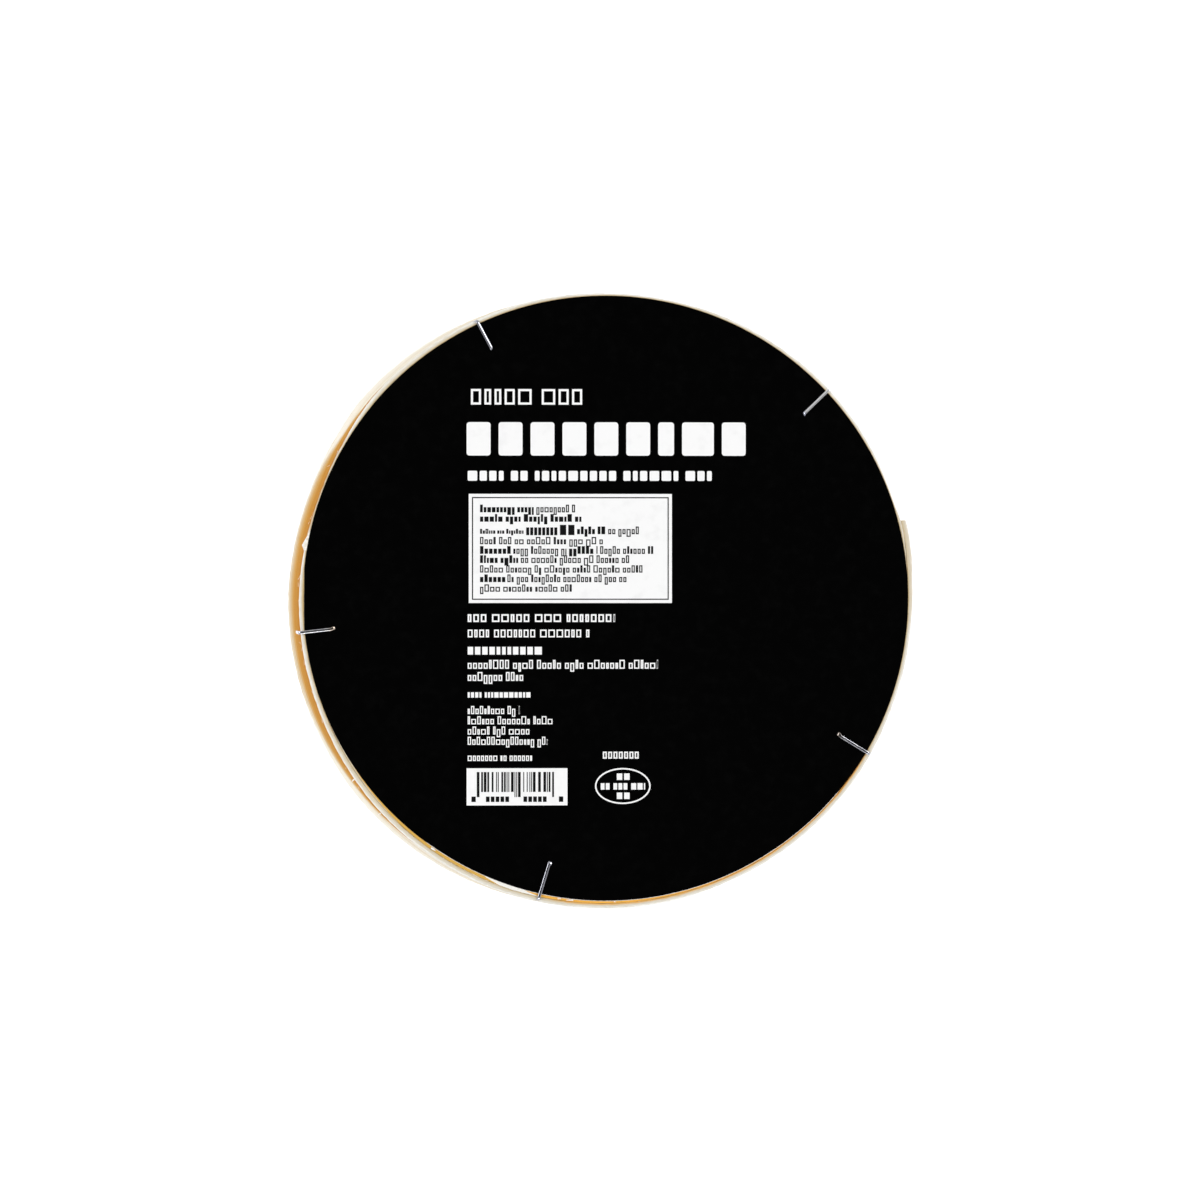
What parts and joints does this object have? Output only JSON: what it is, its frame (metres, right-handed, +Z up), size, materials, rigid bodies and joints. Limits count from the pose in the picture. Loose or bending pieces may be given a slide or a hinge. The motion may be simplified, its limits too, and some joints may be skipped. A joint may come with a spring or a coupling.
{
  "type": "boxed camembert cheese",
  "caption": "Round shut cheese box of bent poplar wood with a stapled slip-on lid and a black paper label on top, holding a soft round cheese.",
  "frame": {"origin": "on the ground, under the middle of the box", "axes": "+Z up through the lid, the label's top edge towards +Y, +X to its right; the lid strip's overlap lies at +X"},
  "size_m": [0.1148, 0.114, 0.0368],
  "materials": {
    "poplar_disc": "raw sawn veneer, matt",
    "poplar_strip": "raw peeled veneer, satin on the outside, fibrous on its edges",
    "label_paper": "coated black paper, satin",
    "staple_wire": "tinned, flattened wire"
  },
  "bodies": {
    "root": {"base_body": "poplar_disc", "base_strip": "poplar_strip", "lid_disc": "poplar_disc", "lid_strip": "poplar_strip", "lid_label": "label_paper", "lid_staple_1": "staple_wire", "lid_staple_2": "staple_wire", "lid_staple_3": "staple_wire", "lid_staple_4": "staple_wire", "lid_staple_5": "staple_wire", "base_staple_1": "staple_wire", "base_staple_2": "staple_wire", "base_staple_3": "staple_wire", "base_staple_4": "staple_wire", "base_staple_5": "staple_wire"}
  },
  "joints": []
}
